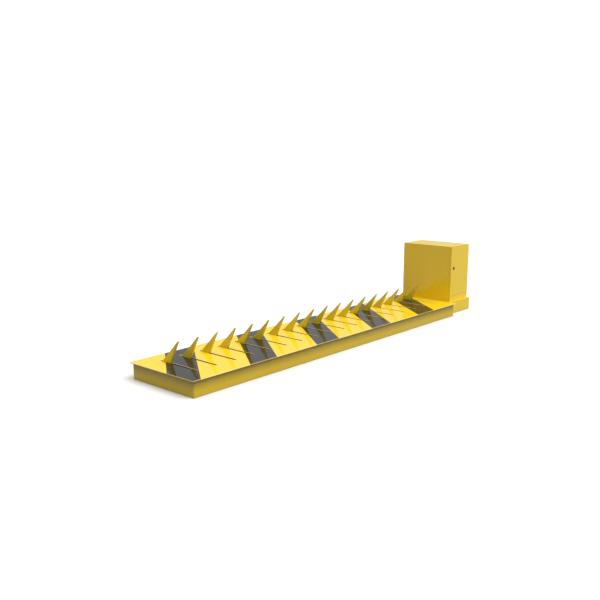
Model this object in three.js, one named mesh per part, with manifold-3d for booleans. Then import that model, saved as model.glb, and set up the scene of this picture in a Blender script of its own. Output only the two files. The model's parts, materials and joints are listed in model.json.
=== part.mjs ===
// Surface-mounted motorised tyre killer: a low box frame with a slotted drive-over plate,
// a row of pivoting spikes on one shaft, and a drive cabinet on a plinth at one end.
//
// Millimetres, +Z up. X runs along the strip from its free end to the drive cabinet, Y runs
// across it from the approach side to the rear, and Z = 0 is the ground. Everything is drawn
// from the corner of the box frame, and the whole group is then moved so that the origin is
// at the middle of the object's footprint.

import * as THREE from "three";
import { mergeVertices } from "three/addons/utils/BufferGeometryUtils.js";
import Module from "manifold-3d";

const wasm = await Module();
wasm.setup();

// ---------------------------------------------------------------- driving dimensions

const GAP = 0.3; // between pieces that touch
const RUNNING = 0.5; // radial clearance round things that turn
const ROUND = 32; // facets of a shaft or bore
const SMALL_ROUND = 20; // facets of a pin

// Strip
const BODY_LENGTH = 3100;
const BODY_WIDTH = 600;
const PLATE_TOP = 117;
const PLATE_THICKNESS = 6;
const PLATE_OVERHANG = 18;
const SHEET = 6; // channels, end plates and plinth
const FLANGE = 45;
const PLATE_UNDER = PLATE_TOP - PLATE_THICKNESS;
const BODY_TOP = PLATE_UNDER - GAP;
const BODY_INSIDE = [SHEET + GAP, BODY_WIDTH - SHEET - GAP];

// Spikes
const SPIKE_COUNT = 18;
const SPIKE_PITCH = 168;
const FIRST_SPIKE = 148;
const SPIKE_THICKNESS = 16;
const SLOT_WIDTH = 20;
const SLOT_FRONT = 137;
const SLOT_REAR = 501;

// Spike shaft and its bearings
const SHAFT_Y = 470;
const SHAFT_Z = 66;
const SHAFT_RADIUS = 22;
const SHAFT_START = 10;
const SHAFT_END = 3232;
const BEARING_LENGTH = 30;
const BEARING_RADIUS = 40;
const RIB_THICKNESS = 8;
const RIB_AFTER_SPIKE = [4, 9, 14]; // a rib stands half a pitch behind each of these

// Plinth
const PLINTH_START = BODY_LENGTH + GAP;
const PLINTH_END = 3500;
const PLINTH_Y = [54, BODY_WIDTH + PLATE_OVERHANG];
const PLINTH_OPENING_X = [3190, 3472];
const PLINTH_OPENING_Y = [97, 582];
const GLAND_AT = [3456, 450];

// Cabinet
const CABINET_X = [3172, 3490];
const CABINET_Y = [79, 598];
const CABINET_TOP = 622;
const CABINET_SHEET = 3;
const SKIRT_TOP = 163;
const DOOR_DEPTH = 14;
const DOOR_SHEET = 2;
const DOOR_REAR = CABINET_Y[0] + DOOR_DEPTH;
const WALL_FRONT = DOOR_REAR + 0.8;
const DOOR_FRAME_RIM = 28;
const HINGE_RADIUS = 6;
const HINGE_AXIS = [CABINET_X[1] + HINGE_RADIUS + RUNNING, DOOR_REAR + 0.4];
const HINGE_HEIGHT = 35;
const HINGE_STARTS = [215, 500];
const LOCK_X = 3220;
const LOCK_Z = 420;
const LOCK_RADIUS = 9;

// Drive
const CRANK_Z = 330;
const CRANK_LENGTH = 70;
const CRANK_TILT = -21.5 * THREE.MathUtils.DEG2RAD; // at rest, from +Y towards +Z
const LEVER_X = [3205, 3217];
const ROD_X = [3218, 3230];
const PIN_END = 3237;
const PIN_RADIUS = 10;
const OUTPUT_RADIUS = 15;
const GEARBOX_X = [3242, 3342];
const GEARBOX_Y = [400, 540];
const GEARBOX_Z = [265, 395];
const MOTOR_RADIUS = 58;

// ---------------------------------------------------------------- materials

const finish = (color, roughness, metalness) =>
  new THREE.MeshStandardMaterial({ color, roughness, metalness });

const yellowPaint = finish(0xf2c318, 0.3, 0.1);
const spikePaint = finish(0xd9ac14, 0.35, 0.1);
const zinc = finish(0xb9bcc0, 0.45, 0.9);
const brightSteel = finish(0xc9ccd0, 0.25, 1.0);
const bronze = finish(0xb0803a, 0.4, 0.9);
const castGrey = finish(0x6f767c, 0.6, 0.4);
const blackRubber = finish(0x1c1c1c, 0.9, 0.0);
const greyPlastic = finish(0xc8cbca, 0.5, 0.0);
const blackPlastic = finish(0x242628, 0.5, 0.0);

// ---------------------------------------------------------------- scene helpers

const assembly = new THREE.Group();

function place(name, geometry, material) {
  const mesh = new THREE.Mesh(geometry, material);
  mesh.name = name;
  assembly.add(mesh);
  return mesh;
}

const X_AXIS = new THREE.Vector3(1, 0, 0);
const Y_AXIS = new THREE.Vector3(0, 1, 0);
const Z_AXIS = new THREE.Vector3(0, 0, 1);

function block([x0, x1], [y0, y1], [z0, z1]) {
  const geometry = new THREE.BoxGeometry(x1 - x0, y1 - y0, z1 - z0);
  return geometry.translate((x0 + x1) / 2, (y0 + y1) / 2, (z0 + z1) / 2);
}

// Extrudes an outline drawn in (Y, Z) along X.
function alongX(shape, [x0, x1]) {
  const geometry = new THREE.ExtrudeGeometry(shape, { depth: x1 - x0, bevelEnabled: false });
  const turn = new THREE.Matrix4().makeBasis(Y_AXIS, Z_AXIS, X_AXIS);
  return geometry.applyMatrix4(turn).translate(x0, 0, 0);
}

// Extrudes an outline drawn in (X, Z) along Y.
function alongY(shape, [y0, y1]) {
  const geometry = new THREE.ExtrudeGeometry(shape, { depth: y1 - y0, bevelEnabled: false });
  const turn = new THREE.Matrix4().makeBasis(X_AXIS, Z_AXIS, Y_AXIS.clone().negate());
  return geometry.applyMatrix4(turn).translate(0, y1, 0);
}

// Extrudes an outline drawn in (X, Y) along Z.
function alongZ(shape, [z0, z1]) {
  const geometry = new THREE.ExtrudeGeometry(shape, { depth: z1 - z0, bevelEnabled: false });
  return geometry.translate(0, 0, z0);
}

function outline(points) {
  return new THREE.Shape(points.map(([u, v]) => new THREE.Vector2(u, v)));
}

const rectanglePoints = ([u0, u1], [v0, v1]) => [
  [u0, v0],
  [u1, v0],
  [u1, v1],
  [u0, v1],
];

function circlePoints(u, v, radius, facets) {
  const step = (2 * Math.PI) / facets;
  return Array.from({ length: facets }, (_, i) => [
    u + radius * Math.cos(i * step),
    v + radius * Math.sin(i * step),
  ]);
}

const circle = (u, v, radius, facets = ROUND) => outline(circlePoints(u, v, radius, facets));

function withHoles(shape, holes) {
  shape.holes.push(...holes.map((points) => new THREE.Path(points.map(toVector))));
  return shape;
}

const toVector = ([u, v]) => new THREE.Vector2(u, v);

// A ring turned about a line parallel to X, from [radius, distance along X] points.
function turnedAlongX(profile, x, y, z, facets = ROUND) {
  const points = profile.map(([radius, along]) => new THREE.Vector2(radius, along));
  points.push(points[0].clone());
  const geometry = new THREE.LatheGeometry(points, facets);
  const turn = new THREE.Matrix4().makeBasis(Z_AXIS, X_AXIS, Y_AXIS);
  return geometry.applyMatrix4(turn).translate(x, y, z);
}

// A ring or a solid turned about a vertical line, from [radius, height] points.
function turnedUpright(profile, x, y, z, facets = ROUND) {
  const points = profile.map(([radius, height]) => new THREE.Vector2(radius, height));
  const onAxis = profile[0][0] === 0;
  if (!onAxis) {
    points.push(points[0].clone());
  }
  const geometry = new THREE.LatheGeometry(points, facets);
  const turn = new THREE.Matrix4().makeBasis(Y_AXIS, Z_AXIS, X_AXIS);
  return geometry.applyMatrix4(turn).translate(x, y, z);
}

// ---------------------------------------------------------------- joining and cutting

function toManifold(geometry) {
  const bare = geometry.clone();
  bare.deleteAttribute("normal");
  bare.deleteAttribute("uv");
  const merged = mergeVertices(bare, 1e-4);
  const vertProperties = new Float32Array(merged.attributes.position.array);
  const triVerts = new Uint32Array(merged.index.array);
  return new wasm.Manifold(new wasm.Mesh({ numProp: 3, vertProperties, triVerts }));
}

function toGeometry(manifold) {
  const mesh = manifold.getMesh();
  const geometry = new THREE.BufferGeometry();
  geometry.setAttribute("position", new THREE.BufferAttribute(mesh.vertProperties, 3));
  geometry.setIndex(new THREE.BufferAttribute(mesh.triVerts, 1));
  geometry.computeVertexNormals();
  return geometry;
}

const joined = (...pieces) =>
  toGeometry(pieces.map(toManifold).reduce((whole, piece) => whole.add(piece)));

const cut = (whole, ...tools) =>
  toGeometry(tools.map(toManifold).reduce((left, tool) => left.subtract(tool), toManifold(whole)));

// ---------------------------------------------------------------- strip frame

function channelOutline() {
  return outline([
    [0, 0],
    [FLANGE, 0],
    [FLANGE, SHEET],
    [SHEET, SHEET],
    [SHEET, BODY_TOP - SHEET],
    [FLANGE, BODY_TOP - SHEET],
    [FLANGE, BODY_TOP],
    [0, BODY_TOP],
  ]);
}

function addSideChannels() {
  const span = [SHEET + GAP, BODY_LENGTH - SHEET - GAP];
  const front = alongX(channelOutline(), span);
  const rear = front.clone().rotateZ(Math.PI).translate(BODY_LENGTH, BODY_WIDTH, 0);
  place("side_channel_front", front, yellowPaint);
  place("side_channel_rear", rear, yellowPaint);
}

function addEndPlates() {
  const face = rectanglePoints([0, BODY_WIDTH], [0, BODY_TOP]);
  const shaftHole = circlePoints(SHAFT_Y, SHAFT_Z, SHAFT_RADIUS + 2, ROUND);
  const free = alongX(outline(face), [0, SHEET]);
  const drive = alongX(withHoles(outline(face), [shaftHole]), [BODY_LENGTH - SHEET, BODY_LENGTH]);
  place("end_plate_free", free, yellowPaint);
  place("end_plate_drive", drive, yellowPaint);
}

// A rib fills the frame's section inside the channels and carries the plate between them.
function ribOutline() {
  const [near, far] = BODY_INSIDE;
  const nearFlange = FLANGE + GAP;
  const farFlange = BODY_WIDTH - FLANGE - GAP;
  const low = SHEET + GAP;
  const high = BODY_TOP - SHEET - GAP;
  return outline([
    [nearFlange, 0],
    [farFlange, 0],
    [farFlange, low],
    [far, low],
    [far, high],
    [farFlange, high],
    [farFlange, BODY_TOP],
    [nearFlange, BODY_TOP],
    [nearFlange, high],
    [near, high],
    [near, low],
    [nearFlange, low],
  ]);
}

function addRibs() {
  const bushRadius = SHAFT_RADIUS + 8;
  const bushHole = circlePoints(SHAFT_Y, SHAFT_Z, bushRadius + GAP, ROUND);
  RIB_AFTER_SPIKE.forEach((spike, i) => {
    const middle = FIRST_SPIKE + (spike - 0.5) * SPIKE_PITCH;
    const span = [middle - RIB_THICKNESS / 2, middle + RIB_THICKNESS / 2];
    place(`cross_rib_${i + 1}`, alongX(withHoles(ribOutline(), [bushHole]), span), yellowPaint);
    place(`rib_bush_${i + 1}`, ribBush(middle, bushRadius), bronze);
  });
}

// A flanged bronze bush: its flange lies against one side of the rib.
function ribBush(middle, radius) {
  const bore = SHAFT_RADIUS + RUNNING;
  const flangeStart = RIB_THICKNESS / 2 + GAP;
  const profile = [
    [bore, -14],
    [radius, -14],
    [radius, flangeStart],
    [radius + 9, flangeStart],
    [radius + 9, 12],
    [bore, 12],
  ];
  return turnedAlongX(profile, middle, SHAFT_Y, SHAFT_Z);
}

function endBearing(x0) {
  const ring = withHoles(circle(SHAFT_Y, SHAFT_Z, BEARING_RADIUS), [
    circlePoints(SHAFT_Y, SHAFT_Z, SHAFT_RADIUS + RUNNING, ROUND),
  ]);
  return alongX(ring, [x0, x0 + BEARING_LENGTH]);
}

function addEndBearings() {
  const nearFree = SHEET + GAP;
  const nearDrive = BODY_LENGTH - SHEET - GAP - BEARING_LENGTH;
  place("end_bearing_free", endBearing(nearFree), castGrey);
  place("end_bearing_drive", endBearing(nearDrive), castGrey);
}

const spikeX = (i) => FIRST_SPIKE + i * SPIKE_PITCH;

function addTopPlate() {
  const low = -PLATE_OVERHANG;
  const blank = block(
    [low, BODY_LENGTH + PLATE_OVERHANG],
    [low, BODY_WIDTH + PLATE_OVERHANG],
    [PLATE_UNDER, PLATE_TOP],
  );
  const half = SLOT_WIDTH / 2;
  const slots = Array.from({ length: SPIKE_COUNT }, (_, i) =>
    block(
      [spikeX(i) - half, spikeX(i) + half],
      [SLOT_FRONT, SLOT_REAR],
      [PLATE_UNDER - 5, PLATE_TOP + 5],
    ),
  );
  place("top_plate", cut(blank, ...slots), yellowPaint);
}

// ---------------------------------------------------------------- spikes and their shaft

// The spike's outline about the shaft's centre, in the raised position: a thorn that leans
// towards the approach side, with a straight front edge and a hollow rear edge, on a hub.
function spikeOutline() {
  const tip = [-159, 210];
  const tipWidth = 3;
  const frontFoot = [-52, 0];
  const rearFoot = [7, 51];
  const hollow = [-62, 112];
  const hubRadius = 36;
  const shape = new THREE.Shape();
  shape.moveTo(...frontFoot);
  const facets = 12;
  const hubStart = -0.72 * Math.PI;
  const hubEnd = 0.2 * Math.PI;
  for (let i = 0; i <= facets; i += 1) {
    const angle = hubStart + ((hubEnd - hubStart) * i) / facets;
    shape.lineTo(hubRadius * Math.cos(angle), hubRadius * Math.sin(angle));
  }
  shape.lineTo(...rearFoot);
  shape.quadraticCurveTo(...hollow, tip[0] + tipWidth, tip[1]);
  shape.lineTo(tip[0], tip[1] - 1);
  shape.closePath();
  const bore = circlePoints(0, 0, SHAFT_RADIUS + GAP, ROUND);
  return withHoles(shape, [bore]);
}

function addSpikes() {
  const half = SPIKE_THICKNESS / 2;
  for (let i = 0; i < SPIKE_COUNT; i += 1) {
    const name = `spike_${String(i + 1).padStart(2, "0")}`;
    const spike = place(name, alongX(spikeOutline(), [-half, half]), spikePaint);
    spike.position.set(spikeX(i), SHAFT_Y, SHAFT_Z);
  }
}

function addShaft() {
  const shaft = alongX(circle(SHAFT_Y, SHAFT_Z, SHAFT_RADIUS), [SHAFT_START, SHAFT_END]);
  place("spike_shaft", shaft, brightSteel);
}

// ---------------------------------------------------------------- drive linkage

// A flat link between two eyes on the Y axis: round ends joined by their tangents.
function linkOutline(length, nearRadius, farRadius, nearBore, farBore) {
  const slope = Math.acos((nearRadius - farRadius) / length);
  const facets = 12;
  const arc = (centre, radius, from, to) =>
    Array.from({ length: facets + 1 }, (_, i) => {
      const angle = from + ((to - from) * i) / facets;
      return [centre + radius * Math.cos(angle), radius * Math.sin(angle)];
    });
  const points = [
    ...arc(length, farRadius, -slope, slope),
    ...arc(0, nearRadius, slope, 2 * Math.PI - slope),
  ];
  const bores = [];
  if (nearBore > 0) {
    bores.push(circlePoints(0, 0, nearBore, ROUND));
  }
  if (farBore > 0) {
    bores.push(circlePoints(length, 0, farBore, SMALL_ROUND));
  }
  return withHoles(outline(points), bores);
}

// A lever with its pin welded into the far eye, pointing along CRANK_TILT from its axis.
function leverWithPin(hubRadius, hubBore, axisZ) {
  const eye = 18;
  const arm = alongX(linkOutline(CRANK_LENGTH, hubRadius, eye, hubBore, 0), LEVER_X);
  const pin = alongX(circle(CRANK_LENGTH, 0, PIN_RADIUS, SMALL_ROUND), [LEVER_X[1] - 4, PIN_END]);
  return joined(arm, pin).rotateX(CRANK_TILT).translate(0, SHAFT_Y, axisZ);
}

function addLinkage() {
  place("shaft_lever", leverWithPin(38, SHAFT_RADIUS + GAP, SHAFT_Z), zinc);
  place("crank_arm", leverWithPin(30, OUTPUT_RADIUS + GAP, CRANK_Z), zinc);
  const output = circle(SHAFT_Y, CRANK_Z, OUTPUT_RADIUS);
  const outputSpan = [LEVER_X[0] - 3, GEARBOX_X[1] - 12];
  place("gearbox_output_shaft", alongX(output, outputSpan), brightSteel);
  const pinY = SHAFT_Y + CRANK_LENGTH * Math.cos(CRANK_TILT);
  const pinZ = SHAFT_Z + CRANK_LENGTH * Math.sin(CRANK_TILT);
  const bore = PIN_RADIUS + RUNNING;
  const rod = alongX(linkOutline(CRANK_Z - SHAFT_Z, 18, 18, bore, bore), ROD_X);
  place("connecting_rod", rod.rotateX(Math.PI / 2).translate(0, pinY, pinZ), zinc);
}

// ---------------------------------------------------------------- gearmotor

function addGearbox() {
  const corner = 14;
  const [y0, y1] = GEARBOX_Y;
  const [z0, z1] = GEARBOX_Z;
  const housing = alongX(
    outline([
      [y0 + corner, z0],
      [y1 - corner, z0],
      [y1, z0 + corner],
      [y1, z1 - corner],
      [y1 - corner, z1],
      [y0 + corner, z1],
      [y0, z1 - corner],
      [y0, z0 + corner],
    ]),
    GEARBOX_X,
  );
  const boss = alongX(circle(SHAFT_Y, CRANK_Z, 36), [GEARBOX_X[0] - 6, GEARBOX_X[0] + 4]);
  const boreRadius = OUTPUT_RADIUS + RUNNING;
  const boreSpan = [GEARBOX_X[0] - 20, GEARBOX_X[1] - 10];
  const bore = alongX(circle(SHAFT_Y, CRANK_Z, boreRadius), boreSpan);
  place("gearbox", cut(joined(housing, boss), bore), castGrey);
}

function addMotor() {
  const base = GEARBOX_Z[1] + GAP;
  const profile = [
    [0, 0],
    [MOTOR_RADIUS, 0],
    [MOTOR_RADIUS, 12],
    [MOTOR_RADIUS - 8, 14],
    [MOTOR_RADIUS - 8, 130],
    [MOTOR_RADIUS, 132],
    [MOTOR_RADIUS, 176],
    [MOTOR_RADIUS - 10, 184],
    [0, 184],
  ];
  const x = (GEARBOX_X[0] + GEARBOX_X[1]) / 2;
  place("motor", turnedUpright(profile, x, SHAFT_Y, base), castGrey);
}

function addGearmotorBracket() {
  const sheet = 10;
  const face = GEARBOX_X[1] + GAP;
  const floor = SHEET + GAP;
  const foot = 88;
  const shape = outline([
    [face, floor],
    [face + foot, floor],
    [face + foot, floor + sheet],
    [face + sheet, floor + sheet],
    [face + sheet, GEARBOX_Z[1]],
    [face, GEARBOX_Z[1]],
  ]);
  place("gearmotor_bracket", alongY(shape, GEARBOX_Y), zinc);
}

// ---------------------------------------------------------------- plinth

function addPlinth() {
  const footprint = rectanglePoints([PLINTH_START, PLINTH_END], PLINTH_Y);
  const glandHole = circlePoints(...GLAND_AT, 12, SMALL_ROUND);
  const base = alongZ(withHoles(outline(footprint), [glandHole]), [0, SHEET]);
  place("plinth_base", base, yellowPaint);

  const [y0, y1] = PLINTH_Y;
  const inner = PLINTH_END - SHEET;
  const walls = outline([
    [PLINTH_START, y0],
    [PLINTH_END, y0],
    [PLINTH_END, y1],
    [PLINTH_START, y1],
    [PLINTH_START, y1 - SHEET],
    [inner, y1 - SHEET],
    [inner, y0 + SHEET],
    [PLINTH_START, y0 + SHEET],
  ]);
  const wallSpan = [SHEET + GAP, BODY_TOP - SHEET - GAP];
  place("plinth_walls", alongZ(walls, wallSpan), yellowPaint);

  const opening = rectanglePoints(PLINTH_OPENING_X, PLINTH_OPENING_Y);
  const top = alongZ(withHoles(outline(footprint), [opening]), [BODY_TOP - SHEET, BODY_TOP]);
  place("plinth_top", top, yellowPaint);
}

function addCableGland() {
  const profile = [
    [6, 0.5],
    [11.5, 0.5],
    [11.5, SHEET + GAP],
    [19, SHEET + GAP],
    [19, 14],
    [15, 16],
    [15, 30],
    [11, 38],
    [6, 38],
  ];
  place("cable_gland", turnedUpright(profile, ...GLAND_AT, 0, SMALL_ROUND), blackPlastic);
}

// ---------------------------------------------------------------- cabinet

// A sheet folded round three sides: the outline is open towards the approach side.
function foldedSheet([x0, x1], yFront, yRear, sheet) {
  return outline([
    [x0, yFront],
    [x0 + sheet, yFront],
    [x0 + sheet, yRear - sheet],
    [x1 - sheet, yRear - sheet],
    [x1 - sheet, yFront],
    [x1, yFront],
    [x1, yRear],
    [x0, yRear],
  ]);
}

function addCabinetShell() {
  const base = BODY_TOP + GAP;
  const roofUnder = CABINET_TOP - CABINET_SHEET;
  const walls = foldedSheet(CABINET_X, WALL_FRONT, CABINET_Y[1], CABINET_SHEET);
  place("cabinet_walls", alongZ(walls, [base, roofUnder - GAP]), yellowPaint);
  place("cabinet_roof", block(CABINET_X, CABINET_Y, [roofUnder, CABINET_TOP]), yellowPaint);

  const [x0, x1] = CABINET_X;
  const y0 = CABINET_Y[0];
  const skirt = outline([
    [x0, y0],
    [x1, y0],
    [x1, DOOR_REAR],
    [x1 - CABINET_SHEET, DOOR_REAR],
    [x1 - CABINET_SHEET, y0 + CABINET_SHEET],
    [x0 + CABINET_SHEET, y0 + CABINET_SHEET],
    [x0 + CABINET_SHEET, DOOR_REAR],
    [x0, DOOR_REAR],
  ]);
  place("cabinet_skirt", alongZ(skirt, [base, SKIRT_TOP - 1]), yellowPaint);
}

const insideCabinet = [CABINET_X[0] + CABINET_SHEET + GAP, CABINET_X[1] - CABINET_SHEET - GAP];

// The rim behind the door that the seal closes against and the lock's cam catches.
function addDoorFrame() {
  const heights = [SKIRT_TOP, CABINET_TOP - CABINET_SHEET - GAP];
  const inset = ([low, high]) => [low + DOOR_FRAME_RIM, high - DOOR_FRAME_RIM];
  const face = outline(rectanglePoints(insideCabinet, heights));
  const hole = rectanglePoints(inset(insideCabinet), inset(heights));
  const rim = alongY(withHoles(face, [hole]), [WALL_FRONT, WALL_FRONT + CABINET_SHEET]);
  place("door_frame", rim, yellowPaint);
}

// ---------------------------------------------------------------- door

const DOOR_Z = [SKIRT_TOP, CABINET_TOP - CABINET_SHEET - 0.8];

function addDoor() {
  const pan = block(CABINET_X, [CABINET_Y[0], DOOR_REAR], DOOR_Z);
  const shrink = ([low, high]) => [low + DOOR_SHEET, high - DOOR_SHEET];
  const recess = block(
    shrink(CABINET_X),
    [CABINET_Y[0] + DOOR_SHEET, DOOR_REAR + 5],
    shrink(DOOR_Z),
  );
  const lockHole = alongY(circle(LOCK_X, LOCK_Z, LOCK_RADIUS + RUNNING), [
    CABINET_Y[0] - 5,
    CABINET_Y[0] + 5,
  ]);
  place("door_panel", cut(pan, recess, lockHole), yellowPaint);
}

function addDoorSeal() {
  const inset = 16;
  const width = 10;
  const band = ([low, high], by) => [low + by, high - by];
  const face = outline(rectanglePoints(band(CABINET_X, inset), band(DOOR_Z, inset)));
  const hole = rectanglePoints(band(CABINET_X, inset + width), band(DOOR_Z, inset + width));
  const span = [CABINET_Y[0] + DOOR_SHEET + GAP, DOOR_REAR + 0.4];
  place("door_seal", alongY(withHoles(face, [hole]), span), blackRubber);
}

function addLock() {
  const ringPoints = circlePoints(LOCK_X, LOCK_Z, LOCK_RADIUS + RUNNING, ROUND);
  const ring = withHoles(circle(LOCK_X, LOCK_Z, 14), [ringPoints]);
  const ringSpan = [CABINET_Y[0] - 3, CABINET_Y[0] - GAP];
  place("lock_escutcheon", alongY(ring, ringSpan), blackPlastic);

  const camFront = WALL_FRONT + CABINET_SHEET + 0.6;
  const camRear = camFront + 3;
  const keyway = block(
    [LOCK_X - 1.5, LOCK_X + 1.5],
    [CABINET_Y[0] - 10, CABINET_Y[0] + 4],
    [LOCK_Z - 6, LOCK_Z + 6],
  );
  const barrel = joined(
    alongY(circle(LOCK_X, LOCK_Z, LOCK_RADIUS), [CABINET_Y[0] - 5, camFront - GAP]),
    alongY(circle(LOCK_X, LOCK_Z, 4, SMALL_ROUND), [camFront - 4, camRear + 3]),
  );
  place("lock_barrel", cut(barrel, keyway), castGrey);

  const camLength = 32;
  const camHalf = 7;
  const camFace = outline(
    rectanglePoints([LOCK_X - camHalf, LOCK_X + camHalf], [LOCK_Z - camLength, LOCK_Z + camHalf]),
  );
  const camHole = circlePoints(LOCK_X, LOCK_Z, 4 + GAP, SMALL_ROUND);
  place("lock_cam", alongY(withHoles(camFace, [camHole]), [camFront, camRear]), zinc);
}

// Lift-off hinges: the lower half carries the pin and stays on the cabinet, the upper half
// drops over it and goes with the door.
function addHinges() {
  const [axisX, axisY] = HINGE_AXIS;
  const leafX = [CABINET_X[1] + GAP, CABINET_X[1] + 3.5];
  const pinRadius = 3;
  ["lower", "upper"].forEach((which, i) => {
    const start = HINGE_STARTS[i];
    const middle = start + HINGE_HEIGHT;
    const frameSpan = [start, middle];
    const doorSpan = [middle + RUNNING, middle + RUNNING + HINGE_HEIGHT];
    const frameHalf = joined(
      alongZ(circle(axisX, axisY, HINGE_RADIUS, SMALL_ROUND), frameSpan),
      alongZ(outline(rectanglePoints(leafX, [axisY, axisY + 34])), frameSpan),
      alongZ(circle(axisX, axisY, pinRadius, SMALL_ROUND), [start, doorSpan[1] - 2]),
    );
    place(`hinge_cabinet_half_${which}`, frameHalf, zinc);

    const doorBore = circle(axisX, axisY, pinRadius + RUNNING, SMALL_ROUND);
    const doorHalf = cut(
      joined(
        alongZ(circle(axisX, axisY, HINGE_RADIUS, SMALL_ROUND), doorSpan),
        alongZ(outline(rectanglePoints(leafX, [CABINET_Y[0] + 2, axisY - 0.5])), doorSpan),
      ),
      alongZ(doorBore, [doorSpan[0] - 5, doorSpan[1] + 5]),
    );
    place(`hinge_door_half_${which}`, doorHalf, zinc);
  });
}

// ---------------------------------------------------------------- control gear

function addControlBox() {
  const wall = insideCabinet[1];
  const [y0, y1] = [150, 370];
  const [z0, z1] = [250, 520];
  const depth = 70;
  const rim = 3;
  const tray = cut(
    block([wall - depth, wall], [y0, y1], [z0, z1]),
    block([wall - depth - 5, wall - rim], [y0 + rim, y1 - rim], [z0 + rim, z1 - rim]),
  );
  place("control_box", tray, greyPlastic);
  const lid = block([wall - depth - GAP - 14, wall - depth - GAP], [y0, y1], [z0, z1]);
  place("control_box_cover", lid, greyPlastic);
}

// A switch on the cabinet's side wall at each end of the crank pin's travel.
function addLimitSwitches() {
  const pinReach = CRANK_LENGTH * Math.sin(-CRANK_TILT) + 18;
  const height = 40;
  const clearance = 4;
  const spanX = [insideCabinet[0], LEVER_X[1] - 3];
  const spanY = [520, 552];
  const raisedTop = CRANK_Z - pinReach - clearance;
  const loweredFoot = CRANK_Z + pinReach + clearance;
  place("limit_switch_raised", block(spanX, spanY, [raisedTop - height, raisedTop]), blackPlastic);
  const lowered = block(spanX, spanY, [loweredFoot, loweredFoot + height]);
  place("limit_switch_lowered", lowered, blackPlastic);
}

// ---------------------------------------------------------------- build

addTopPlate();
addSideChannels();
addEndPlates();
addRibs();
addEndBearings();
addShaft();
addSpikes();
addLinkage();
addGearbox();
addMotor();
addGearmotorBracket();
addPlinth();
addCableGland();
addCabinetShell();
addDoorFrame();
addDoor();
addDoorSeal();
addLock();
addHinges();
addControlBox();
addLimitSwitches();

const farEnd = HINGE_AXIS[0] + HINGE_RADIUS;
assembly.position.set(-(farEnd - PLATE_OVERHANG) / 2, -BODY_WIDTH / 2, 0);

const group = new THREE.Group();
group.add(assembly);

export default group;
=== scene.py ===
# Looks of the surface-mounted tyre killer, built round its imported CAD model.
#
# Metres, +Z up, in the CAD model's own frame: X runs along the strip towards the drive
# cabinet, Y runs across it from the approach side to the rear, and Z = 0 is the ground.
# The pieces' places come from the CAD nodes' boxes and outlines and the record's joints.

import json
import math

import bmesh
import bpy
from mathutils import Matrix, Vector


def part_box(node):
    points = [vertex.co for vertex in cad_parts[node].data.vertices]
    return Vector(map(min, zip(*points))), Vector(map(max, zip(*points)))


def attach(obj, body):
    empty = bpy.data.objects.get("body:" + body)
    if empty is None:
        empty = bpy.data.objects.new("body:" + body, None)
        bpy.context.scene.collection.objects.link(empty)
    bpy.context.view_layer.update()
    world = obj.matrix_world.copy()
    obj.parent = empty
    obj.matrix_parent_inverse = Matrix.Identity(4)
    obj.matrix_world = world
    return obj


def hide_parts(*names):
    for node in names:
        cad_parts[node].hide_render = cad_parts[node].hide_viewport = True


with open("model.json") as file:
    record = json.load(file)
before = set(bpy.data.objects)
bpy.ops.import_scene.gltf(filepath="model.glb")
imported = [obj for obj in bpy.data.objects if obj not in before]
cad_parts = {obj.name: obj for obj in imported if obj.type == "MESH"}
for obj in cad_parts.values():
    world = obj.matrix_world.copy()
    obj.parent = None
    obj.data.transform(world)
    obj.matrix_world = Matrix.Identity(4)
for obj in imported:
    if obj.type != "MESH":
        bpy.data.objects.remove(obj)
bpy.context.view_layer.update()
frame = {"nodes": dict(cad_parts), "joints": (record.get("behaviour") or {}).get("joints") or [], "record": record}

MM = 0.001
ARC_STEPS = 6  # facets of a quarter turn at a rounded corner
FEW_STEPS = 3  # the same for the corners of an outline that is already faceted
EDGE_STEPS = 3  # rings of a rounded edge
ROUND = 64  # facets of a large turned piece
SMALL_ROUND = 32
BEAD_ROUND = 10  # facets across a weld bead
SHARP_FROM = math.radians(38)  # edges that turn more than this stay sharp

SPIKES = sorted(name for name in frame["nodes"] if name.startswith("spike_") and name[-1].isdigit())
JOINTS = {joint["name"]: joint for joint in frame["joints"]}


# ------------------------------ outlines


def rectangle(u, v):
    return [(u[0], v[0]), (u[1], v[0]), (u[1], v[1]), (u[0], v[1])]


def shrunk(span, by):
    return (span[0] + by, span[1] - by)


def middle(span):
    return (span[0] + span[1]) / 2


def centroid(points):
    return tuple(sum(values) / len(points) for values in zip(*points))


def on_circle(centre, radius, angle):
    return (centre[0] + radius * math.cos(angle), centre[1] + radius * math.sin(angle))


def circle(centre, radius, facets=ROUND, start=0.0):
    """Points evenly spaced round a circle, the first one at the start angle."""
    return [on_circle(centre, radius, start + 2 * math.pi * i / facets) for i in range(facets)]


def rounded(points, radius, steps=ARC_STEPS):
    """The closed outline with an arc in place of every corner; radius may be one per corner."""
    result = []
    radii = radius if isinstance(radius, list) else [radius] * len(points)
    for i, corner in enumerate(points):
        here = Vector(corner)
        back = (Vector(points[i - 1]) - here).normalized()
        ahead = (Vector(points[(i + 1) % len(points)]) - here).normalized()
        half = back.angle(ahead) / 2
        reach = radii[i] / math.tan(half)
        centre = here + (back + ahead).normalized() * (radii[i] / math.sin(half))
        start = here + back * reach - centre
        end = here + ahead * reach - centre
        turn = math.atan2(start.x * end.y - start.y * end.x, start.dot(end))
        for k in range(steps + 1):
            c, s = math.cos(turn * k / steps), math.sin(turn * k / steps)
            result.append((centre.x + start.x * c - start.y * s, centre.y + start.x * s + start.y * c))
    return result


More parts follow.
